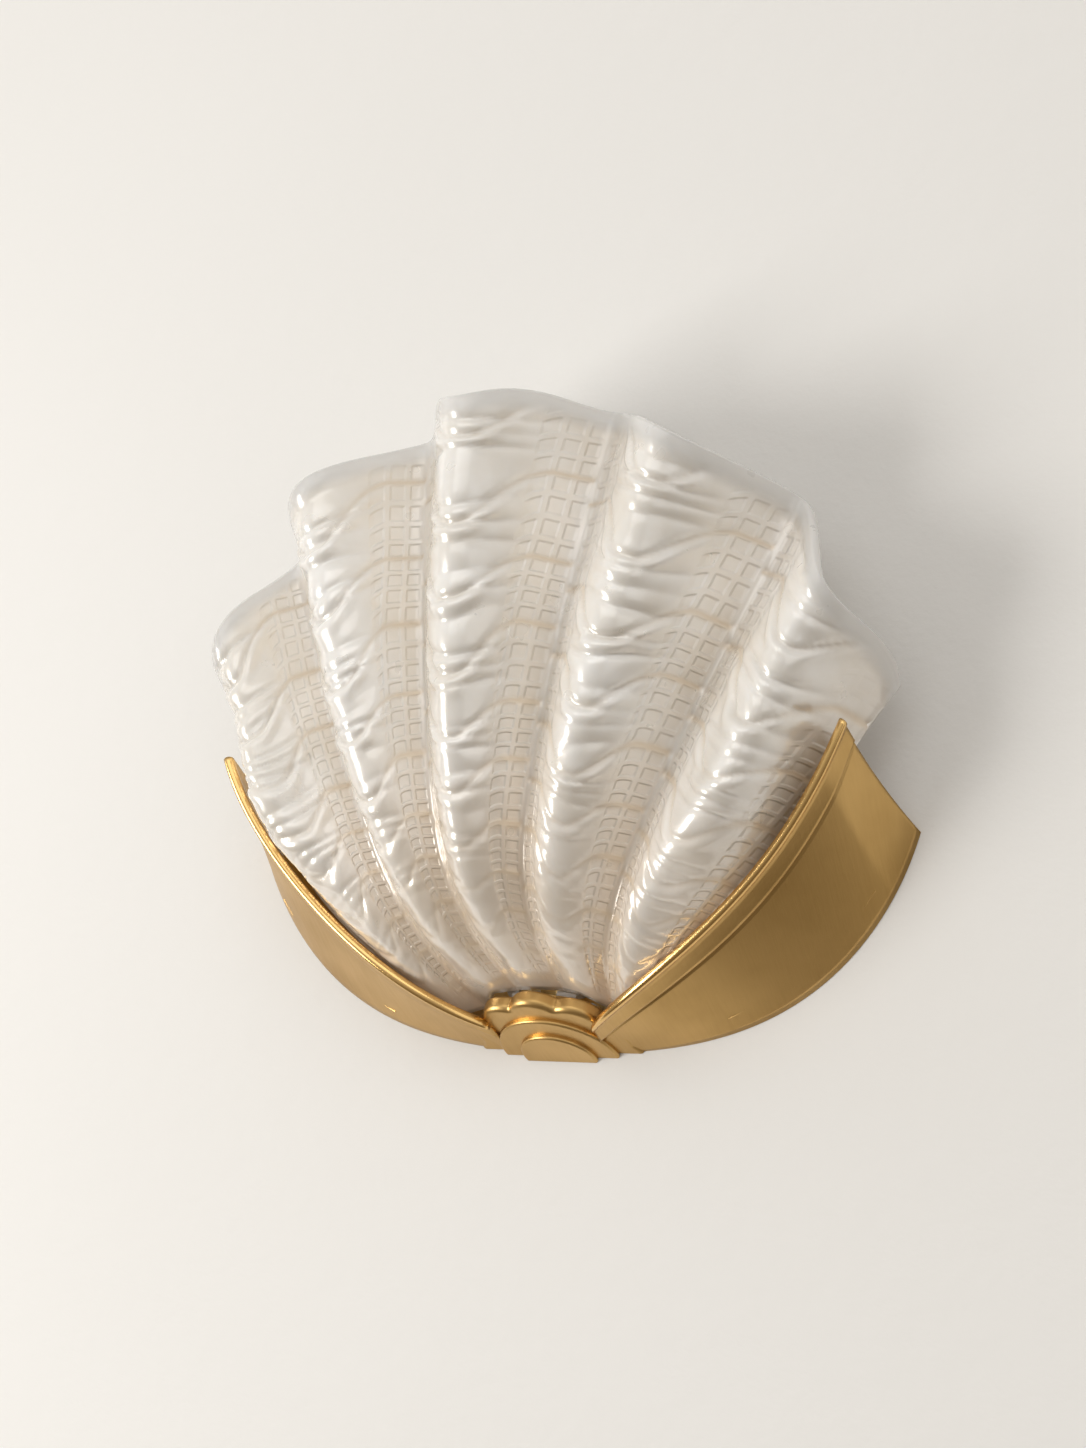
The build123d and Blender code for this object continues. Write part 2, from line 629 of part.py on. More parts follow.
def candle_profile(inset):
    """Half outline of a candle bulb, drawn inwards by inset: three arcs that meet smoothly."""
    width, tip = BULB_RADIUS - inset, BULB_TIP - inset
    belly_z = CAP_TOP + BULB_BELLY * BULB_LENGTH
    rise = (1 - BULB_BELLY) * BULB_LENGTH - BULB_TIP
    side = (width**2 + rise**2 - tip**2) / (2 * (width - tip))
    share = side / (side - tip)
    foot = (NECK_RADIUS - inset, CAP_TOP - 10)
    neck = (NECK_RADIUS - inset, CAP_TOP + 1)
    widest = (width, belly_z)
    shoulder = (width - side + share * (side - width), belly_z + share * rise)
    top = (0, CAP_TOP + BULB_LENGTH - inset)
    with BuildSketch() as half:
        with BuildLine():
            Polyline(top, (0, foot[1]), foot, neck)
            TangentArc(widest, neck, tangent=(0, -1))
            flank = TangentArc(widest, shoulder, tangent=(0, 1))
            TangentArc(shoulder, top, tangent=flank % 1)
        make_face()
    return half.sketch


lamp_section = Plane((0, LAMP_Y, 0), x_dir=(1, 0, 0), z_dir=(0, -1, 0))
lamp_line = Axis(origin=(0, LAMP_Y, 0), direction=(0, 0, 1))

with BuildPart() as bulb_envelope:
    with BuildSketch(lamp_section):
        add(candle_profile(0))
    revolve(axis=lamp_line)
    with BuildSketch(lamp_section):
        add(candle_profile(BULB_WALL))
    revolve(axis=lamp_line, mode=Mode.SUBTRACT)
export(bulb_envelope, "bulb_envelope")


# ---------------------------------------------------------------- wiring inside
with BuildPart() as cable_grommet:
    for low, high, radius in (
        (BACK_FRONT - GROMMET_LIP, BACK_FRONT, GROMMET_FLANGE),
        (BACK_FRONT, -BACK_GAP, GROMMET_NECK),
        (-BACK_GAP, GROMMET_LIP - BACK_GAP, GROMMET_FLANGE),
    ):
        with BuildSketch(wall_plane(high)):
            with Locations(CABLE_AT):
                Circle(radius)
                Circle(GROMMET_BORE, mode=Mode.SUBTRACT)
        extrude(amount=high - low)
export(cable_grommet, "cable_grommet")

WAYS = [TERMINAL_AT[1] + row * WAY_PITCH for row in (1, 0, -1)]

with BuildPart() as terminal_block:
    with BuildSketch(wall_plane(BACK_FRONT)):
        with Locations(TERMINAL_AT):
            RectangleRounded(TERMINAL[0], TERMINAL[1], 1.2)
    extrude(amount=TERMINAL[2])
    with BuildSketch(wall_plane(BACK_FRONT - TERMINAL[2])):
        for way in WAYS:
            with Locations((TERMINAL_AT[0] - SCREW_WAY, way), (TERMINAL_AT[0] + SCREW_WAY, way)):
                Circle(TERMINAL_SCREW)
    extrude(amount=-(TERMINAL[2] - TERMINAL_BORE_DEPTH), mode=Mode.SUBTRACT)
    with BuildSketch(Plane.YZ.offset(TERMINAL_AT[0] - TERMINAL[0])):
        for way in WAYS:
            with Locations((LEAD_Y, way)):
                Circle(LEAD_RADIUS + 0.4)
    extrude(amount=2 * TERMINAL[0], mode=Mode.SUBTRACT)
export(terminal_block, "terminal_block")

with BuildPart() as terminal_screws:
    with BuildSketch(wall_plane(LEAD_Y - LEAD_RADIUS)):
        for way in WAYS:
            with Locations((TERMINAL_AT[0] - SCREW_WAY, way), (TERMINAL_AT[0] + SCREW_WAY, way)):
                Circle(TERMINAL_SCREW)
    extrude(amount=TERMINAL_SCREW_LENGTH)
export(terminal_screws, "terminal_screws")

with BuildPart() as earth_screw:
    washer = BACK_FRONT - 2 * LEAD_RADIUS
    with BuildSketch(wall_plane(BACK_FRONT)):
        with Locations(EARTH_AT):
            Circle(EARTH_WASHER)
    extrude(amount=2 * LEAD_RADIUS)
    with BuildSketch(wall_plane(washer)):
        with Locations(EARTH_AT):
            Circle(EARTH_WASHER - 0.8)
    extrude(amount=1.8)
    with BuildSketch(wall_plane(BACK_FRONT)):
        with Locations(EARTH_AT):
            Circle(STUD_RADIUS)
    extrude(amount=-SCREW_BITE)
export(earth_screw, "earth_screw")


def insulated_lead(points):
    """Round wire along straight runs joined by bends."""
    with BuildLine() as route:
        FilletPolyline(*points, radius=LEAD_BEND)
    with BuildSketch(Plane(route.line @ 0, z_dir=route.line % 0)) as section:
        Circle(LEAD_RADIUS)
    sweep(section.sketch, path=route.line)


LEAD_START = TERMINAL_AT[0] + 3
LEAD_END_Y = LAMP_Y + HOLDER_RADIUS - LEAD_BITE

with BuildPart() as lead_live:
    insulated_lead([
        (LEAD_START, LEAD_Y, WAYS[0]),
        (LEAD_START + 24, LEAD_Y, WAYS[0]),
        (-LEAD_SPREAD, LEAD_Y, LEAD_HOLES_Z),
        (-LEAD_SPREAD, LEAD_END_Y, LEAD_HOLES_Z),
    ])
export(lead_live, "lead_live")

with BuildPart() as lead_neutral:
    insulated_lead([
        (LEAD_START, LEAD_Y, WAYS[1]),
        (LEAD_START + 24, LEAD_Y, WAYS[1]),
        (LEAD_SPREAD, LEAD_Y, LEAD_HOLES_Z),
        (LEAD_SPREAD, LEAD_END_Y, LEAD_HOLES_Z),
    ])
export(lead_neutral, "lead_neutral")

with BuildPart() as lead_earth:
    insulated_lead([
        (LEAD_START, LEAD_Y, WAYS[2]),
        (LEAD_START + 15, LEAD_Y, WAYS[2]),
        (EARTH_AT[0], BACK_FRONT - LEAD_RADIUS, EARTH_AT[1] + EARTH_WASHER + 10),
        (EARTH_AT[0], BACK_FRONT - LEAD_RADIUS, EARTH_AT[1] + EARTH_WASHER),
    ])
export(lead_earth, "lead_earth")
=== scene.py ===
import math

import bmesh
import bpy
import numpy as np
from mathutils import Matrix, Vector


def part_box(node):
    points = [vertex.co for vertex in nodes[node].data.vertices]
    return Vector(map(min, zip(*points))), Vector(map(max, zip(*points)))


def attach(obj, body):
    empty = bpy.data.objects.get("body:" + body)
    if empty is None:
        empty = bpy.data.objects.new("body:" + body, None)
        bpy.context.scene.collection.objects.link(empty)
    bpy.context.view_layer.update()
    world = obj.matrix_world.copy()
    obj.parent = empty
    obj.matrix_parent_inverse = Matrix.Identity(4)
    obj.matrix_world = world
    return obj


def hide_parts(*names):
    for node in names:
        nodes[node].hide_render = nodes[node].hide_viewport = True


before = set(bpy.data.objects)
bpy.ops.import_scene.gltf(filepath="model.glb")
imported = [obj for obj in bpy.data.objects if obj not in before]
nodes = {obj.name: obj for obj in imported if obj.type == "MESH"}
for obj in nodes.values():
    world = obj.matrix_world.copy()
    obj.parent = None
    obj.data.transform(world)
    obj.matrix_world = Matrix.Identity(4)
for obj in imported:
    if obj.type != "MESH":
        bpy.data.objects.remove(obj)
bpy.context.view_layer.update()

# Shell wall light on a plain plastered wall: a fan of pearl glass in a cradle of satin brass,
# with the lamp, the wiring and the wall fixing behind them.
# Metres, +X right, +Y into the wall, +Z up. Forms are worked out in millimetres.

MM = 0.001


# ---------------------------------------------------------------- shader helpers
class Wire:
    """A socket that can be used in sums: each sum adds its Math node."""

    def __init__(self, finish, socket):
        self.finish = finish
        self.socket = socket

    def maths(self, operation, *values):
        return self.finish.node("ShaderNodeMath", {"operation": operation}, dict(enumerate(values)))

    def __add__(self, other):
        return self.maths("ADD", self, other)

    def __sub__(self, other):
        return self.maths("SUBTRACT", self, other)

    def __rsub__(self, other):
        return self.maths("SUBTRACT", other, self)

    def __mul__(self, other):
        return self.maths("MULTIPLY", self, other)

    def band(self, low, high):
        """0 below low and 1 above high, with a soft step between."""
        settings = {"interpolation_type": "SMOOTHSTEP"}
        return self.finish.node("ShaderNodeMapRange", settings, {0: self, 1: low, 2: high})


class Finish:
    """A material that is built up node by node."""

    def __init__(self, name):
        self.material = bpy.data.materials.new(name)
        self.material.use_nodes = True
        self.tree = self.material.node_tree
        self.tree.nodes.clear()
        self.output = self.tree.nodes.new("ShaderNodeOutputMaterial")
        self.place = self.node("ShaderNodeTexCoord", out="Object")

    def node(self, kind, settings=None, inputs=None, out=0):
        made = self.tree.nodes.new(kind)
        for name, value in (settings or {}).items():
            setattr(made, name, value)
        for name, value in (inputs or {}).items():
            if isinstance(value, Wire):
                self.tree.links.new(value.socket, made.inputs[name])
            elif isinstance(value, tuple) and made.inputs[name].type == "RGBA":
                made.inputs[name].default_value = (*value, 1)
            else:
                made.inputs[name].default_value = value
        return Wire(self, made.outputs[out])

    def noise(self, scale, detail=2.0, roughness=0.5, place=None):
        inputs = {"Vector": place or self.place, "Scale": scale, "Detail": detail, "Roughness": roughness}
        return self.node("ShaderNodeTexNoise", {}, inputs)

    def cells(self, scale):
        return self.node("ShaderNodeTexVoronoi", {}, {"Vector": self.place, "Scale": scale})

    def stretch(self, scale):
        return self.node("ShaderNodeMapping", {}, {"Vector": self.place, "Scale": scale})

    def painted(self, name):
        return self.node("ShaderNodeAttribute", {"attribute_name": name}, out="Fac")

    def middle(self, name):
        """0 in the middle and 1 at the ends of each whole step of a painted count."""
        count = self.painted(name)
        swing = count.maths("FRACT", count) * 2 - 1
        return swing.maths("ABSOLUTE", swing)

    def mix(self, share, first, second):
        settings = {"data_type": "RGBA"}
        return self.node("ShaderNodeMix", settings, {0: share, 6: first, 7: second}, out=2)

    def bump(self, height, distance, strength, normal=None):
        inputs = {"Height": height, "Distance": distance, "Strength": strength}
        if normal:
            inputs["Normal"] = normal
        return self.node("ShaderNodeBump", {}, inputs)

    def surface(self, **inputs):
        named = {name.replace("_", " "): value for name, value in inputs.items()}
        return self.node("ShaderNodeBsdfPrincipled", {}, named)

    def done(self, shader):
        self.tree.links.new(shader.socket, self.output.inputs["Surface"])
        return self.material


def scaled(colour, share):
    return tuple(share * part for part in colour)


# ---------------------------------------------------------------- finishes
def pearl_glass():
    """Milk-white pressed glass with a pearly sheen: painted warm shade and a painted glow low down and in the
    valleys, clear along the rim.
    """
    finish = Finish("pearl_glass")
    crease, rim, painted_shade_and_glow = finish.painted("crease"), finish.painted("rim"), finish.painted("painted_shade_and_glow")
    cloud = finish.noise(24, 4, 0.6).band(0.33, 0.70)
    milk = finish.mix(cloud, (0.88, 0.84, 0.775), (0.97, 0.95, 0.915))
    # painted warm shade: the colour turns beige low down and in the valleys
    warm = finish.mix(painted_shade_and_glow, milk, (0.74, 0.60, 0.455))
    # painted shade in the creases: warm, darker lines along them
    painted_crease_shade = finish.mix(crease * 0.8, warm, (0.74, 0.61, 0.45))
    clear = finish.mix(rim, painted_crease_shade, (0.84, 0.83, 0.81))
    pane = 1 - finish.middle("column").band(0.55, 0.85)
    pane = pane * (1 - finish.middle("row").band(0.55, 0.85)) * finish.painted("lattice")
    silk = finish.noise(380, 3, 0.6)
    frost = finish.noise(55, 2).band(0.50, 0.85) * finish.noise(1300, 2)
    seeds = 1 - finish.cells(210).band(0.02, 0.06)
    pressed = finish.bump(1 - pane, 0.0007, 0.8)
    relief = finish.bump(silk * 0.2 + frost * 0.4 + seeds * 0.6, 0.00035, 0.4, pressed)
    lustre = (finish.noise(40, 2).band(0.3, 0.7) * 0.16 + 0.08) * (1 - rim)
    pearl = finish.surface(
        Base_Color=clear,
        Metallic=lustre,
        Roughness=finish.noise(60, 3) * 0.10 + 0.24,
        IOR=1.5,
        Subsurface_Weight=0.15,
        Subsurface_Radius=(1.0, 0.85, 0.7),
        Subsurface_Scale=0.006,
        Transmission_Weight=0.06,
        # painted glow: the glass gives off a little warm light there, though it is no lamp
        Emission_Color=finish.mix(painted_shade_and_glow, (0.0, 0.0, 0.0), (1.0, 0.78, 0.56)),
        Emission_Strength=0.10,
        Coat_Weight=1.0,
        Coat_Roughness=0.03,
        Coat_IOR=1.5,
        Normal=relief,
        Alpha=1 - rim * 0.34,
    )
    return finish.done(pearl)


def brushed(name, colour, dark, roughness, grain):
    """Metal with fine brush marks along one direction and a slight cloudiness; the polished lip is smoother
    and has a painted highlight.
    """
    finish = Finish(name)
    lines = finish.noise(1.0, 3, 0.65, finish.stretch(grain))
    cloud = finish.noise(22, 3).band(0.3, 0.75)
    lip = finish.painted("lip")
    tone = finish.mix(cloud * 0.6 + lines * 0.3, colour, dark)
    metal = finish.surface(
        # painted highlight: the lip's colour is made brighter, while its lower roughness is the real polish
        Base_Color=finish.mix(lip, tone, scaled(colour, 1.22)),
        Metallic=1.0,
        Roughness=(lines * 0.14 + cloud * 0.05 + (roughness - 0.08)) * (1 - lip * 0.5),
        Normal=finish.bump(lines, 0.0001, 0.45),
    )
    return finish.done(metal)


def plated(name, colour, roughness):
    """Turned or stamped small metalware with a fine grain."""
    finish = Finish(name)
    grain = finish.noise(900, 2)
    worn = finish.noise(120, 3).band(0.45, 0.7)
    metal = finish.surface(
        Base_Color=finish.mix(worn * 0.35, colour, scaled(colour, 0.72)),
        Metallic=1.0,
        Roughness=grain * 0.08 + worn * 0.08 + roughness,
        Normal=finish.bump(grain, 0.00003, 0.3),
    )
    return finish.done(metal)


def moulded(name, colour, roughness):
    """Moulded resin, nylon, silicone or sleeving with a fine pebble."""
    finish = Finish(name)
    pebble = finish.noise(700, 2)
    patch = finish.noise(60, 2).band(0.35, 0.7)
    body = finish.surface(
        Base_Color=finish.mix(patch * 0.4, colour, scaled(colour, 0.84)),
        Roughness=pebble * 0.12 + roughness,
        Normal=finish.bump(pebble, 0.00005, 0.4),
    )
    return finish.done(body)


def opal_glass():
    """The bulb: glossy white glass that lets a little light through."""
    finish = Finish("opal_glass")
    cloud = finish.noise(90, 2)
    body = finish.surface(
        Base_Color=finish.mix(cloud, (0.93, 0.92, 0.89), (0.86, 0.85, 0.82)),
        Roughness=cloud * 0.05 + 0.12,
        Transmission_Weight=0.25,
        Coat_Weight=0.6,
        Coat_Roughness=0.05,
        Normal=finish.bump(cloud, 0.00004, 0.2),
    )
    return finish.done(body)


def plaster():
    """Soft white plaster. It shows from the front only, so that the back can be looked at."""
    finish = Finish("wall_plaster")
    grain = finish.noise(260, 4, 0.6) + finish.noise(70, 3) * 1.4
    tone = finish.mix(finish.noise(3, 2), (0.845, 0.835, 0.81), (0.875, 0.865, 0.845))
    body = finish.surface(Base_Color=tone, Roughness=0.85, Normal=finish.bump(grain, 0.0006, 0.25))
    behind = finish.node("ShaderNodeNewGeometry", out="Backfacing")
    clear = finish.node("ShaderNodeBsdfTransparent")
    return finish.done(finish.node("ShaderNodeMixShader", {}, {0: behind, 1: body, 2: clear}))


# ---------------------------------------------------------------- modelling helpers
def clear_selection():
    if bpy.context.mode != "OBJECT":
        bpy.ops.object.mode_set(mode="OBJECT")
    bpy.ops.object.select_all(action="DESELECT")


def take_up(piece, *others):
    """Makes a piece the active one, selected alone or with some others."""
    clear_selection()
    for chosen in (piece, *others):
        chosen.select_set(True)
    bpy.context.view_layer.objects.active = piece


def settle(piece, name, material, body, *replaced):
    """Names a finished piece, gives it its finish and seats it on its body."""
    take_up(piece)
    bpy.ops.object.transform_apply(location=True, rotation=True, scale=True)
    piece.name = name
    piece.data.materials.clear()
    piece.data.materials.append(material)
    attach(piece, body)
    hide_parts(*replaced)
    return piece


def wrapped_sheet(places, masks):
    """A primitive grid laid on rows of places in mm, whose last row joins the first, closed at both ends."""
    rows, columns = places.shape[0] - 1, places.shape[1] - 1
    clear_selection()
    bpy.ops.mesh.primitive_grid_add(x_subdivisions=columns, y_subdivisions=rows, size=2)
    piece = bpy.context.object
    mesh = piece.data
    flat = np.empty(len(mesh.vertices) * 3)
    mesh.vertices.foreach_get("co", flat)
    flat = flat.reshape(-1, 3)
    column = np.rint((flat[:, 0] + 1) / 2 * columns).astype(int)
    row = np.rint((flat[:, 1] + 1) / 2 * rows).astype(int)
    mesh.vertices.foreach_set("co", (places[row, column] * MM).ravel())
    for name, values in masks.items():
        layer = mesh.attributes.new(name, "FLOAT", "POINT")
        layer.data.foreach_set("value", values[row, column].astype(np.float32))

    shell = bmesh.new()
    shell.from_mesh(mesh)
    shell.verts.ensure_lookup_table()
    first = {column[i]: shell.verts[i] for i in np.flatnonzero(row == 0)}
    last = {column[i]: shell.verts[i] for i in np.flatnonzero(row == rows)}
    for c in range(columns):
        shell.faces.new((first[c], first[c + 1], last[c + 1], last[c]))
    ends = [edge for edge in shell.edges if edge.is_boundary]
    caps = bmesh.ops.holes_fill(shell, edges=ends, sides=0)["faces"]
    bmesh.ops.triangulate(shell, faces=caps)
    bmesh.ops.recalc_face_normals(shell, faces=shell.faces)
    if shell.calc_volume(signed=True) < 0:
        bmesh.ops.reverse_faces(shell, faces=shell.faces)
    for face in shell.faces:
        face.smooth = True
    shell.to_mesh(mesh)
    shell.free()
    return piece


def soft_step(value, low, high):
    """0 below low and 1 above high, with a soft step between."""
    share = np.clip((value - low) / (high - low), 0, 1)
    return share * share * (3 - 2 * share)


def bell(value, middle, span):
    """1 at the middle, next to nothing two spans away."""
    return np.exp(-(((value - middle) / span) ** 2))


# ---------------------------------------------------------------- form of the glass, in millimetres
# A place on the fan has a radius from the fan's centre and a phase, which counts ribs from the
# middle one: crests lie at -2, -1, 0, 1 and 2, valleys half a rib from them.
FAN_Z = -90.0            # height of the fan's centre
RIB_COUNT = 5
LAST_PHASE = RIB_COUNT / 2
RIB_PITCH = 16.8         # degrees between the middle ribs
PITCH_LOSS = 0.175       # degrees lost per cube of the rib number
EDGE_ANGLE = 40.0        # fan angle at which the falls to the side are stated
GLASS_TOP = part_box("glass_shell")[1][2] / MM
GLASS_WALL = 4.0
GLASS_FOOT = 72.0        # radius of the foot at the middle rib
FOOT_RISE = 6.0
FOOT_DROP = 4.0          # how much further down the foot reaches under the outer ribs
FOOT_DROP_PHASE = (0.9, 1.5)
GLASS_DEPTH = 94.0       # crest of the middle rib to the wall
SIDE_FALL, SIDE_POWER = 0.465, 1.47
SWELL_START, SWELL_LENGTH, SWELL_POWER = 61.0, 33.0, 1.2    # the glass swells out above its foot
DROOP_START, DROOP_LENGTH, RIM_DROOP = 190.0, 107.0, 0.085  # and falls back a little towards the rim
FLUTE_START, FLUTE_SLOPE = 45.0, 0.17      # the valleys deepen with the radius
FLUTE_ROUND = 1.5        # 1 is a pointed valley, 2 a plain wave
FULLER = 0.4             # taken off FLUTE_ROUND for fuller crests, except at these edges and near the rim
FULLER_PHASE, FULLER_RADIUS = (1.9, 2.3), (215.0, 262.0)
OUTER_BOW = 0.14         # how far, in ribs, the outer crests bow towards the wings
OUTER_SWELL = 12.0       # how much the outer crests stand out beside the wings
OUTER_AT, OUTER_SPAN = 180.0, 41.0
EDGE_LIFT, EDGE_LIFT_AT = 8.0, 145.0       # how far the side edges stand out beside the wings' lips
EDGE_LIFT_PHASE, EDGE_SPREAD_PHASE = (2.1, 2.45), (2.0, 2.35)
EDGE_SPREAD, EDGE_SPREAD_AT = 2.2, 165.0   # degrees that they widen there
EDGE_SPAN = 48.0
RIM_RADIUS, RIM_FALL, RIM_FALL_POWER = 325.0, 78.0, 2.2
RIM_LEAN, RIM_SAMPLE = 0.30, 262.0         # how far a crest is cut back for each mm of depth
CORNER_START, CORNER_CUT = 0.86, 12.0
RIM_DIP = 4.5            # how far the rim dips in the valleys, except at the side edges
RIM_DIP_PHASE = (1.6, 2.0)
DOME_CREST, DOME_SIDES = 2.5, 4.0          # how far the middle rib's rim is domed


def rib_angle(phase):
    """Fan angle in degrees."""
    return RIB_PITCH * phase - PITCH_LOSS * phase**3


def outer_depth(radius, phase):
    """Distance from the wall to the outside of the glass."""
    off_middle = np.abs(phase)
    rise = 1 - np.exp(-np.power((radius - SWELL_START) / SWELL_LENGTH, SWELL_POWER))
    droop = RIM_DROOP * (np.maximum(0, radius - DROOP_START) / DROOP_LENGTH) ** 2
    side = (np.abs(rib_angle(phase)) / EDGE_ANGLE) ** SIDE_POWER
    near_wing = bell(radius, OUTER_AT, OUTER_SPAN)
    outer_rib = np.sin(np.pi * np.maximum(0.0, off_middle - LAST_PHASE + 1)) ** 2
    full = (1 - soft_step(off_middle, *FULLER_PHASE)) * (1 - soft_step(radius, *FULLER_RADIUS))
    wave = np.abs(np.cos(np.pi * (off_middle - OUTER_BOW * near_wing * outer_rib)))
    crown = wave ** (FLUTE_ROUND - FULLER * full)
    flute = FLUTE_SLOPE * (radius - FLUTE_START) * (1 - crown)
    swell = OUTER_SWELL * near_wing * crown * (phase / 2) ** 2
    edge = EDGE_LIFT * soft_step(off_middle, *EDGE_LIFT_PHASE) * bell(radius, EDGE_LIFT_AT, EDGE_SPAN)
    return GLASS_DEPTH * rise * (1 - droop) * (1 - SIDE_FALL * side) - flute + swell + edge


def fan_places(radius, phase, depth):
    """Places on the fan, at a distance from the wall that is given by depth."""
    outer = soft_step(np.abs(phase), *EDGE_SPREAD_PHASE)
    spread = EDGE_SPREAD * outer * bell(radius, EDGE_SPREAD_AT, EDGE_SPAN)
    angle = np.radians(rib_angle(phase) + np.sign(phase) * spread)
    return np.stack([radius * np.sin(angle), -depth, FAN_Z + radius * np.cos(angle)], axis=-1)


def foot_radius(phase):
    """Radius at which the glass begins, at the cradle."""
    rise = FOOT_RISE * (rib_angle(phase) / EDGE_ANGLE) ** 2
    return GLASS_FOOT + rise - FOOT_DROP * soft_step(np.abs(phase), *FOOT_DROP_PHASE)


def rim_radius(phase):
    """Radius at which the glass ends, at the scalloped rim."""
    turn = np.abs(rib_angle(phase)) / EDGE_ANGLE
    corner = CORNER_CUT * np.maximum(0, (turn - CORNER_START) / (1 - CORNER_START)) ** 3
    dip = RIM_DIP * np.sin(np.pi * phase) ** 2 * (1 - soft_step(np.abs(phase), *RIM_DIP_PHASE))
    middle = np.pi * np.clip(phase, -0.5, 0.5)
    dome = DOME_CREST * np.cos(middle) ** 2 + DOME_SIDES * np.sin(2 * middle) ** 2
    lean = RIM_LEAN * outer_depth(RIM_SAMPLE, phase)
    return RIM_RADIUS - RIM_FALL * turn**RIM_FALL_POWER - lean - corner - dip + dome


# ---------------------------------------------------------------- pressed pattern, in millimetres
# Creases cross each rib. Between them the crests are rippled and the flanks hold a lattice of
# small cells. Swing is 0 on a crest and 1 in a valley.
RING_PITCH, RING_GROWTH, RINGS_START = 12.0, 0.11, 66.0   # creases stand further apart towards the rim
RING_STAGGER = 0.31      # shift of the creases from one rib to the next, as a share of their pitch
CREASE_BOW, RIPPLE_BOW = 0.30, 0.15        # rise from crest to valley, as a share of a rib's width
CREASE_SWING = (0.10, 0.74)                # where on the flank a crease rises
CREASE_HALF = 1.3
CREASE_ON_FLANK = 0.4    # depth of a crease on the flanks, as a share of its depth on the crest
CREST_MIDDLE, CREST_EDGE = 0.01, (0.15, 0.40)             # ripples and puffs fade out over this edge
DEEPEN_START, DEEPEN_LENGTH, DEEPEN_RANGE = 55, 125, (0.3, 1.2)   # the relief deepens with the radius
RIPPLES = 3              # ripples over the crest from one crease to the next
RIPPLE_DEPTH, RIPPLE_ROUND = 1.65, 2.3
PUFF_HEIGHT, PUFF_AT, PUFF_SPAN = 1.0, 4.5, 3.2           # swelling of the crest before a crease
ROLL_DEPTH, ROLL_LENGTH = 0.55, 5.0        # step in the flanks behind a crease
LATTICE_DEPTH, LATTICE_ROWS = 0.2, 4       # rows of cells from one crease to the next
CELL_WIDTH, CELL_GROWTH = 2.9, 0.011
LATTICE_INNER, LATTICE_OUTER = (0.56, 0.62), (0.94, 0.99)
LOBE_FADE, LOBE_PHASE, LOBE_RADIUS = 0.85, (2.05, 2.25), (190, 225)
CALM_RIM, CALM_FOOT = (2.5, 10.0), (74.0, 88.0)           # towards these the face is smooth
CLEAR_RIM = (3.0, 10.0)
FACE_INSET = 0.95        # how far the patterned face lies inside the plain form, to leave room for the puffs
SKIN = 0.05              # kept free below the plain form and the top of the CAD glass


def ring_count(ring, rib):
    """Number of creases pressed up to a radius, and their pitch there."""
    pitch = RING_PITCH + RING_GROWTH * np.maximum(ring - RINGS_START, 0)
    return np.log(pitch / RING_PITCH) / RING_GROWTH + RING_STAGGER * rib, pitch


def glass_relief(radius, phase, to_rim):
    """Depth pressed into the face at each place, with masks for the finish."""
    rib = np.clip(np.round(phase), -2, 2)
    across = phase - rib
    swing = np.abs(2 * across)
    arc = radius * math.radians(RIB_PITCH)

    # the creases and ripples wander a little, each rib's in its own way
    wander = 1.4 * np.sin(0.11 * radius + 2.1 * rib) + 1.1 * np.sin(0.043 * radius + 5 * across + rib)
    main, pitch = ring_count(radius - CREASE_BOW * arc * soft_step(swing, *CREASE_SWING) + wander, rib)
    low_main, _ = ring_count(radius - RIPPLE_BOW * arc * swing**1.5 + wander, rib)
    slow = 0.26 * np.sin(4.3 * low_main + rib + 4 * across)
    minor = RIPPLES * low_main + 0.30 * np.sin(2 * math.pi * low_main + 1.3 * rib) + slow
    vary = 0.64 + 0.36 * np.sin(3.7 * main + 2 * rib) * np.cos(2.3 * minor)

    crest = 1 - soft_step(np.abs(across - CREST_MIDDLE), *CREST_EDGE)
    grown = np.clip((radius - DEEPEN_START) / DEEPEN_LENGTH, *DEEPEN_RANGE)
    ripple = RIPPLE_DEPTH * crest * grown * vary * np.abs(2 * (minor % 1) - 1) ** RIPPLE_ROUND

    since = main % 1
    groove = bell(np.minimum(since, 1 - since) * pitch, 0, CREASE_HALF)
    puff = PUFF_HEIGHT * crest * grown * bell((1 - since) * pitch, PUFF_AT, PUFF_SPAN)
    roll = ROLL_DEPTH * grown * (1 - crest) * np.exp(-since * pitch / ROLL_LENGTH)

    # the lattice fills the outer part of each flank, but fades on the side edges' upper lobes
    lobe = soft_step(np.abs(phase), *LOBE_PHASE) * soft_step(radius, *LOBE_RADIUS)
    lattice = soft_step(swing, *LATTICE_INNER) * (1 - soft_step(swing, *LATTICE_OUTER)) * (1 - groove)
    lattice = lattice * (1 - LOBE_FADE * lobe)

    calm = soft_step(to_rim, *CALM_RIM) * soft_step(radius, *CALM_FOOT)
    crease = groove * grown * (CREASE_ON_FLANK + (1 - CREASE_ON_FLANK) * crest)
    pressed = ripple - puff + roll + crease + LATTICE_DEPTH * lattice
    masks = {
        # this mask paints warm shade into the creases, more on the flanks than on the crests
        "crease": groove * (0.25 + 0.75 * (1 - crest)) * calm,
        "lattice": lattice * calm,
        "column": (1 - swing) / 2 * arc / (CELL_WIDTH + CELL_GROWTH * radius),
        "row": LATTICE_ROWS * main,
    }
    return (pressed + FACE_INSET) * calm, masks


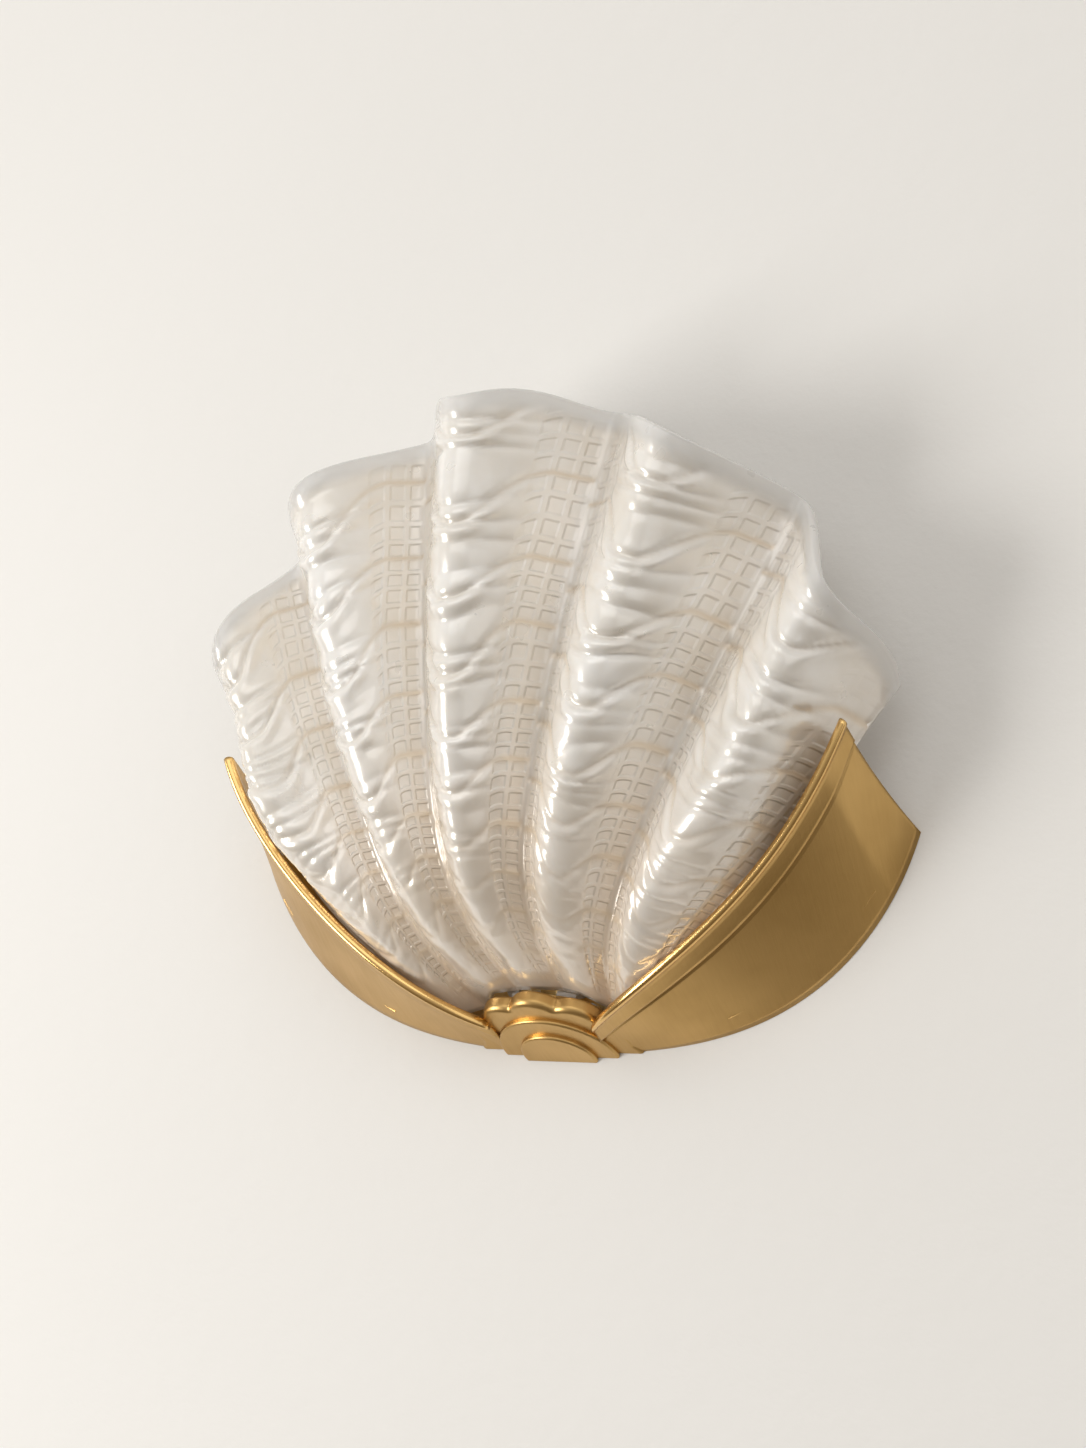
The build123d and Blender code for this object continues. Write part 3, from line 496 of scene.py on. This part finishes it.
# ---------------------------------------------------------------- the glass fan
GLASS_COLUMNS, FACE_ROWS, BACK_ROWS, LIP_ROWS = 300, 200, 36, 5
COLUMN_CROWDING = 0.45   # crowds the columns over the lattice, away from the crests
ROW_CROWDING = 0.92      # below 1 it crowds the rows towards the rim
EDGE_SAMPLE, EDGE_ROUND, EDGE_THIN = 200, 3.0, 0.06       # the wall thins to round off the side edges
LIP_REACH = 0.38         # how far the rounded lip stands out, as a share of the wall


def facing(places):
    """Unit normals of a grid of places, away from the wall."""
    normal = np.cross(np.gradient(places, axis=0), np.gradient(places, axis=1))
    normal /= np.linalg.norm(normal, axis=-1, keepdims=True)
    return normal * np.sign(-normal[..., 1:2])


def glass_fan():
    """The pressed-glass fan: one closed wall with a pressed face, a rounded lip and a plain back."""
    share = np.linspace(-1, 1, GLASS_COLUMNS + 1) * LAST_PHASE
    phase = share + COLUMN_CROWDING * np.sin(2 * np.pi * share) / (2 * np.pi)
    foot, rim = foot_radius(phase), rim_radius(phase)

    def outside(shares):
        radius = foot + (rim - foot) * shares[:, None]
        turn = np.broadcast_to(phase, radius.shape)
        places = fan_places(radius, turn, outer_depth(radius, turn))
        return radius, turn, places, facing(places)

    radius, turn, face, out = outside(np.linspace(0, 1, FACE_ROWS + 1) ** ROW_CROWDING)
    pressed, masks = glass_relief(radius, turn, rim - radius)
    face = face - out * (pressed + SKIN)[..., None]

    to_edge = (LAST_PHASE - np.abs(phase)) * math.radians(rib_angle(1.0)) * EDGE_SAMPLE
    wall = GLASS_WALL * np.sqrt(np.clip(to_edge / EDGE_ROUND, EDGE_THIN, 1))
    back_radius, _, back, out = outside(np.linspace(1, 0, BACK_ROWS + 1))
    back = back - out * wall[None, :, None]

    middle, half = (face[-1] + back[0]) / 2, (face[-1] - back[0]) / 2
    ahead = face[-1] - face[-4]
    ahead *= LIP_REACH * GLASS_WALL / np.linalg.norm(ahead, axis=-1, keepdims=True)
    swings = np.linspace(0, math.pi, LIP_ROWS + 1)[1:-1]
    lip = np.array([middle + half * math.cos(a) + ahead * math.sin(a) for a in swings])
    shell = np.concatenate([face, lip, back])
    shell[..., 2] = np.minimum(shell[..., 2], GLASS_TOP - SKIN)

    # masks over face, lip and back: clear along the rim, painted warm shade and painted glow low down and in
    # the valleys
    plain_rows = np.zeros((LIP_ROWS + BACK_ROWS, GLASS_COLUMNS + 1))
    masks = {name: np.concatenate([values, plain_rows]) for name, values in masks.items()}
    radius = np.concatenate([radius, np.broadcast_to(rim, (LIP_ROWS - 1, GLASS_COLUMNS + 1)), back_radius])
    valley = np.abs(2 * (phase - np.round(phase)))
    low = np.clip(1.15 - (radius - 70) / 95, 0, 1)
    masks["rim"] = 1 - soft_step(rim - radius, *CLEAR_RIM)
    # painted warm shade and glow, strongest low down and in the valleys
    masks["painted_shade_and_glow"] = 0.9 * low * (0.35 + 0.4 * valley) + 0.20 * valley
    return wrapped_sheet(shell, masks)


# ---------------------------------------------------------------- the brass wings, in millimetres
WING_RIM = ((30, -26.5, -28), (53, -39, -14), (87, -43.4, 12), (117, -46, 44), (139, -47, 81))
WING_FOOT = ((30, 0, -43.2), (62, 0, -38.5), (104, 0, -21.8), (132.6, 0, 3.7), (153.3, 0, 42))
WING_COLUMNS, FLARE_ROWS = 110, 16
WING_LOW_SHARE = -0.05   # the sheet runs on a little behind the medallion
WING_SHEET = 1.6
WING_BAND, WING_STEP = 12.5, 1.3           # raised band below the lip, and its step
BAND_FOOT = 2.6          # room kept below the band for the groove at its foot
BEAD, BEAD_TOP = 3.6, 2.7                  # rolled lip
LIP_HALF, LIP_TURNS = 1.9, (125, -90)
LIP_INNER = 3.0          # where the sheet's inside meets the lip
FOLD_START, FOLD_LEAN, FOLD_DEPTH = 0.83, 0.05, 4.4       # soft fold towards the upper end
WING_TAB_AT, WING_TAB, WING_TAB_WIDTH = (0.34, 0.78), 11.0, 9.0
TAB_BACK, TAB_SHEET = -6.2, 1.2            # the tabs lie on the front of the back plate


def smooth_line(places, count):
    """Smooth line through five places, with its direction, at even steps."""
    places = np.array(places, float)
    run = np.concatenate([[0], np.cumsum(np.linalg.norm(np.diff(places, axis=0), axis=1))])
    terms = np.polyfit(run / run[-1], places, 4)
    at = np.linspace(WING_LOW_SHARE, 1, count)
    line = np.stack([np.polyval(terms[:, i], at) for i in range(3)], axis=1)
    way = np.stack([np.polyval(np.polyder(terms[:, i]), at) for i in range(3)], axis=1)
    return line, way / np.linalg.norm(way, axis=1, keepdims=True)


def wing_tabs(side, foot, up, out):
    """Two flat tabs from the inside of a wing onto the front of the back plate."""
    tabs = []
    for share in WING_TAB_AT:
        at = round((share - WING_LOW_SHARE) / (1 - WING_LOW_SHARE) * WING_COLUMNS)
        inward = -out[at] * (1, 0, 1)
        inward /= np.linalg.norm(inward)
        middle = foot[at] + up[at] * (TAB_BACK / up[at, 1]) + inward * (WING_TAB + WING_SHEET) / 2
        middle = (side * middle[0] * MM, (TAB_BACK - TAB_SHEET / 2) * MM, middle[2] * MM)
        turn = side * math.atan2(-inward[2], inward[0])
        size = (WING_TAB, TAB_SHEET, WING_TAB_WIDTH)
        bpy.ops.mesh.primitive_cube_add(size=MM, location=middle, rotation=(0, turn, 0), scale=size)
        tabs.append(bpy.context.object)
    return tabs


def brass_wing(side):
    """Flared sheet from the wall to a rolled lip, with a stepped band, a fold at its end and two tabs."""
    count = WING_COLUMNS + 1
    foot, foot_way = smooth_line(WING_FOOT, count)
    rim, rim_way = smooth_line(WING_RIM, count)
    reach = np.linalg.norm(rim - foot, axis=1)
    up = (rim - foot) / reach[:, None]
    out = np.cross(foot_way + rim_way, up)
    out /= np.linalg.norm(out, axis=1, keepdims=True)

    # each as distance back from the lip's edge, and height over the sheet's outside
    band = [
        (WING_BAND + 1.9, 0), (WING_BAND + 1.4, -0.45), (WING_BAND + 0.7, -0.5),
        (WING_BAND + 0.2, 0.7), (WING_BAND - 0.4, 1.38), (WING_BAND - 1.4, WING_STEP),
        (BEAD + 2, WING_STEP), (BEAD + 0.8, 1.35), (BEAD, 1.9),
    ]
    thick, middle = (BEAD_TOP + WING_SHEET) / 2, (BEAD_TOP - WING_SHEET) / 2
    turns = np.radians(np.linspace(*LIP_TURNS, 12))
    lip = [(LIP_HALF - LIP_HALF * math.cos(a), middle + thick * math.sin(a)) for a in turns]
    share = np.linspace(WING_LOW_SHARE, 1, count)
    rows, lip_polish_and_highlight = [], []

    def add_row(along, height, polish_and_highlight=0.0):
        fold = np.maximum(0, share - FOLD_START - FOLD_LEAN * along / reach) / (1 - FOLD_START)
        waist = 4 * (along / reach) * (1 - along / reach)
        level = height - FOLD_DEPTH * fold * np.clip(waist, 0, 1)
        rows.append(foot + up * along[:, None] + out * level[:, None])
        lip_polish_and_highlight.append(np.full(count, polish_and_highlight))

    for step in np.linspace(0, 1, FLARE_ROWS):
        add_row((reach - WING_BAND - BAND_FOOT) * step, 0)
    for back, height in band:
        add_row(reach - back, height)
    for back, height in lip:
        # the lip rows are marked for polish and for a painted highlight
        add_row(reach - back, height, polish_and_highlight=1.0)
    start = WING_SHEET * out[:, 1] / up[:, 1]
    for step in np.linspace(1, 0, FLARE_ROWS):
        add_row(start + (reach - LIP_INNER - start) * step, -WING_SHEET)

    places = np.array(rows)
    places[..., 1] = np.minimum(places[..., 1], 0)
    places[..., 0] *= side
    sheet = wrapped_sheet(places, {"lip": np.array(lip_polish_and_highlight)})
    tabs = wing_tabs(side, foot, up, out)
    take_up(sheet, *tabs)
    bpy.ops.object.join()
    return sheet


# ---------------------------------------------------------------- build
pearl = pearl_glass()
satin = brushed("satin_brass", (0.68, 0.445, 0.175), (0.49, 0.305, 0.105), 0.36, (900, 60, 60))
plain = plated("plain_brass", (0.74, 0.55, 0.25), 0.32)
zinc = plated("zinc_steel", (0.62, 0.63, 0.64), 0.3)
nickel = plated("nickel_brass", (0.72, 0.69, 0.62), 0.2)
contact = plated("contact_metal", (0.76, 0.58, 0.30), 0.3)
silicone = moulded("clear_silicone", (0.78, 0.77, 0.74), 0.5)
resin = moulded("lampholder_resin", (0.84, 0.82, 0.77), 0.42)
nylon = moulded("terminal_nylon", (0.80, 0.80, 0.75), 0.45)
brown = moulded("brown_insulation", (0.20, 0.085, 0.035), 0.4)
blue = moulded("blue_insulation", (0.02, 0.09, 0.36), 0.4)
green_yellow = moulded("green_yellow_insulation", (0.32, 0.42, 0.03), 0.4)
opal = opal_glass()

FINISHES = {
    satin: ("medallion_boss", "medallion_plate"),
    plain: ("back_plate", "cradle_bracket", "knurled_nuts"),
    zinc: (
        "bracket_screws", "earth_screw", "lamp_bracket", "lamp_bracket_screws", "medallion_screws",
        "nipple_nut", "strap_studs", "terminal_screws", "threaded_nipple", "wall_strap", "wing_screws",
    ),
    nickel: ("bulb_cap", "lampholder_sleeve"),
    contact: ("bulb_contact", "lampholder_contact"),
    silicone: ("cable_grommet", "cradle_pads"),
    resin: ("lampholder_body",),
    nylon: ("terminal_block",),
    brown: ("lead_live",),
    blue: ("lead_neutral",),
    green_yellow: ("lead_earth",),
    opal: ("bulb_envelope",),
}
for material, names in FINISHES.items():
    for name in names:
        nodes[name].data.materials.clear()
        nodes[name].data.materials.append(material)

fan = settle(glass_fan(), "pearl_fan", pearl, "glass", "glass_shell")

for side, label in ((1, "right"), (-1, "left")):
    wing = settle(brass_wing(side), f"{label}_brass_wing", satin, "frame", f"{label}_wing")


# ---------------------------------------------------------------- wall, light and camera
WALL_GAP = 0.0003        # keeps the wall's face clear of the pieces that lie on it


def plastered_wall():
    clear_selection()
    bpy.ops.mesh.primitive_plane_add(size=6, location=(0, WALL_GAP, 0), rotation=(math.radians(90), 0, 0))
    wall = bpy.context.object
    wall.name = "plaster_wall"
    wall.data.materials.append(plaster())
    return wall


def studio_sky(floor, ceiling, backdrop):
    """Room light that goes from a warm floor to a pale ceiling. The camera sees a plain backdrop instead."""
    world = bpy.data.worlds.new("studio")
    world.use_nodes = True
    bpy.context.scene.world = world
    tree = world.node_tree
    room, seen = tree.nodes["Background"], tree.nodes.new("ShaderNodeBackground")
    direction, height = tree.nodes.new("ShaderNodeTexCoord"), tree.nodes.new("ShaderNodeSeparateXYZ")
    rise = tree.nodes.new("ShaderNodeMapRange")
    rise.interpolation_type = "SMOOTHSTEP"
    rise.inputs["From Min"].default_value, rise.inputs["From Max"].default_value = -0.8, 0.9
    tint = tree.nodes.new("ShaderNodeMix")
    tint.data_type = "RGBA"
    tint.inputs[6].default_value, tint.inputs[7].default_value = (*floor, 1), (*ceiling, 1)
    seen.inputs["Color"].default_value = (*backdrop, 1)
    rays, pick = tree.nodes.new("ShaderNodeLightPath"), tree.nodes.new("ShaderNodeMixShader")
    for start, end in (
        (direction.outputs["Generated"], height.inputs[0]),
        (height.outputs["Z"], rise.inputs["Value"]),
        (rise.outputs["Result"], tint.inputs[0]),
        (tint.outputs[2], room.inputs["Color"]),
        (rays.outputs["Is Camera Ray"], pick.inputs[0]),
        (room.outputs[0], pick.inputs[1]),
        (seen.outputs[0], pick.inputs[2]),
        (pick.outputs[0], tree.nodes["World Output"].inputs["Surface"]),
    ):
        tree.links.new(start, end)


def softbox(name, place, target, width, height, power, colour=(1, 1, 1)):
    """Rectangular area light that is aimed at the target."""
    lamp = bpy.data.lights.new(name, "AREA")
    lamp.shape = "RECTANGLE"
    lamp.size, lamp.size_y = width, height
    lamp.energy = power
    lamp.color = colour
    piece = bpy.data.objects.new(name, lamp)
    bpy.context.scene.collection.objects.link(piece)
    piece.location = place
    piece.rotation_euler = (Vector(place) - Vector(target)).to_track_quat("Z", "Y").to_euler()


def camera_at(place, azimuth, elevation, lens):
    """Camera that looks from azimuth to the right of the wall's normal and elevation above it, in degrees."""
    a, e = math.radians(azimuth), math.radians(elevation)
    back = Vector((math.sin(a) * math.cos(e), -math.cos(a) * math.cos(e), math.sin(e)))
    right = Vector((math.cos(a), math.sin(a), 0))
    turn = Matrix((right, back.cross(right), back)).transposed()
    data = bpy.data.cameras.new("photo_view")
    data.lens = lens
    data.clip_start = 0.01
    piece = bpy.data.objects.new("photo_view", data)
    piece.matrix_world = Matrix.Translation(place) @ turn.to_4x4()
    bpy.context.scene.collection.objects.link(piece)
    return piece


wall = plastered_wall()
studio_sky(floor=(0.20, 0.165, 0.125), ceiling=(0.80, 0.785, 0.76), backdrop=(0.86, 0.855, 0.84))
softbox("window", (-1.55, -1.35, -0.25), (0, 0, 0.05), 0.8, 1.1, 25, (1.0, 0.985, 0.96))
softbox("ceiling_fill", (0.3, -1.9, 1.5), (0, 0, 0), 2.2, 1.4, 8)
softbox("right_fill", (1.7, -1.2, 0.3), (0, 0, 0), 1.0, 1.6, 2.5)
bpy.context.scene.camera = camera_at((0.3553, -0.6615, 0.0), 28.84, -6.99, 44.75)
bpy.context.scene.view_settings.view_transform = "Standard"

clear_selection()
bpy.context.view_layer.update()
